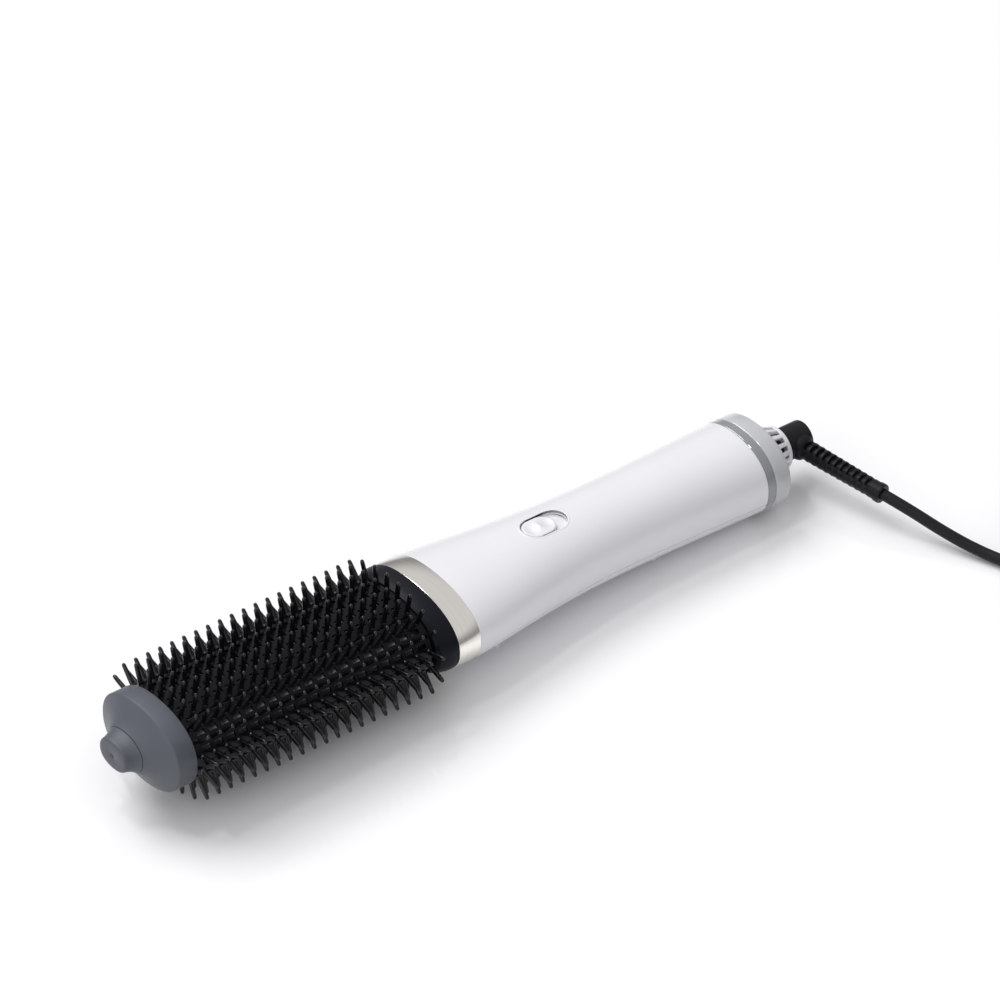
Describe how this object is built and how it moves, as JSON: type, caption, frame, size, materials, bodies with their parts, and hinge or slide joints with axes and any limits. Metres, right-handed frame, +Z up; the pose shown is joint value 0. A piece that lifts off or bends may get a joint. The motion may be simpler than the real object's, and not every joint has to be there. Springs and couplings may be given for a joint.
{
  "type": "hot air brush",
  "caption": "Corded hot air styling brush with an oval bristled heated barrel, metal trim band, tapered white handle, thumb slide switch, rear air intake and swivelling mains cord.",
  "frame": {"origin": "on the resting surface, beneath the centre of the brush's own box without the cord", "axes": "+X from the nose towards the cord end, +Z up through the thumb switch, resting on the bristles and the rear cap"},
  "size_m": [0.544, 0.2089, 0.0594],
  "materials": {
    "soft_grey": "satin soft touch",
    "black_nylon": "moulded",
    "barrel_black": "glossy ceramic coating",
    "bristle_black": "glossy moulded",
    "duct_metal": "plain",
    "steel": "plain",
    "navy_plastic": "satin",
    "champagne_metal": "polished",
    "white_shell": "satin gloss",
    "board_green": "laminate",
    "mica": "mineral board",
    "heating_wire": "drawn wire",
    "grey_gloss": "glossy",
    "brass": "plated",
    "cord_black": "satin"
  },
  "bodies": {
    "brush": {"nose_insert": "soft_grey", "end_cap": "soft_grey", "cap_retainer": "black_nylon", "upper_barrel": "barrel_black", "lower_barrel": "barrel_black", "inner_duct": "duct_metal", "tie_rod": "steel", "duct_spider": "steel", "collar": "navy_plastic", "trim_band": "champagne_metal", "upper_housing": "white_shell", "lower_housing": "white_shell", "housing_screws": "steel", "switch_body": "black_nylon", "control_board": "board_green", "heater_sleeve": "mica", "heater_frame": "mica", "heater_coils": "heating_wire", "thermal_cutout": "steel", "air_duct": "black_nylon", "fan_shroud": "black_nylon", "motor": "steel", "motor_mount": "black_nylon", "rear_trim_ring": "grey_gloss", "rear_cap": "grey_gloss", "intake_grille": "white_shell", "intake_filter": "steel", "swivel_socket": "black_nylon", "socket_contact": "brass", "bristle_comb_01": "bristle_black", "bristle_comb_02": "bristle_black", "bristle_comb_03": "bristle_black", "bristle_comb_04": "bristle_black", "bristle_comb_05": "bristle_black", "bristle_comb_06": "bristle_black", "bristle_comb_07": "bristle_black", "bristle_comb_08": "bristle_black", "bristle_comb_09": "bristle_black", "bristle_comb_10": "bristle_black", "bristle_comb_11": "bristle_black", "bristle_comb_12": "bristle_black", "bristle_comb_13": "bristle_black", "bristle_comb_14": "bristle_black", "bristle_comb_15": "bristle_black", "bristle_comb_16": "bristle_black", "bristle_comb_17": "bristle_black", "bristle_comb_18": "bristle_black", "bristle_comb_19": "bristle_black", "bristle_comb_20": "bristle_black"},
    "slider": {"switch_slider": "white_shell"},
    "fan": {"motor_shaft": "steel", "impeller": "black_nylon"},
    "cord_swivel": {"cord_elbow": "cord_black", "swivel_pin": "brass", "strain_relief": "cord_black", "power_cord": "cord_black", "cord_coil": "cord_black", "plug_lead": "cord_black", "plug_body": "cord_black", "plug_pins": "brass"}
  },
  "joints": [
    {"name": "switch_slide", "type": "slide", "parent": "brush", "child": "slider", "axis": [0.9992, 0, -0.0401], "range_m": [0, 0.0055]},
    {"name": "fan_spin", "type": "hinge", "parent": "brush", "child": "fan", "pos_m": [0.14588, 0, 0.01973], "axis": [0.9992, 0, -0.0401], "continuous": true},
    {"name": "cord_swivel_turn", "type": "hinge", "parent": "brush", "child": "cord_swivel", "pos_m": [0.18385, 0, 0.0182], "axis": [0.9992, 0, -0.0401], "continuous": true}
  ]
}
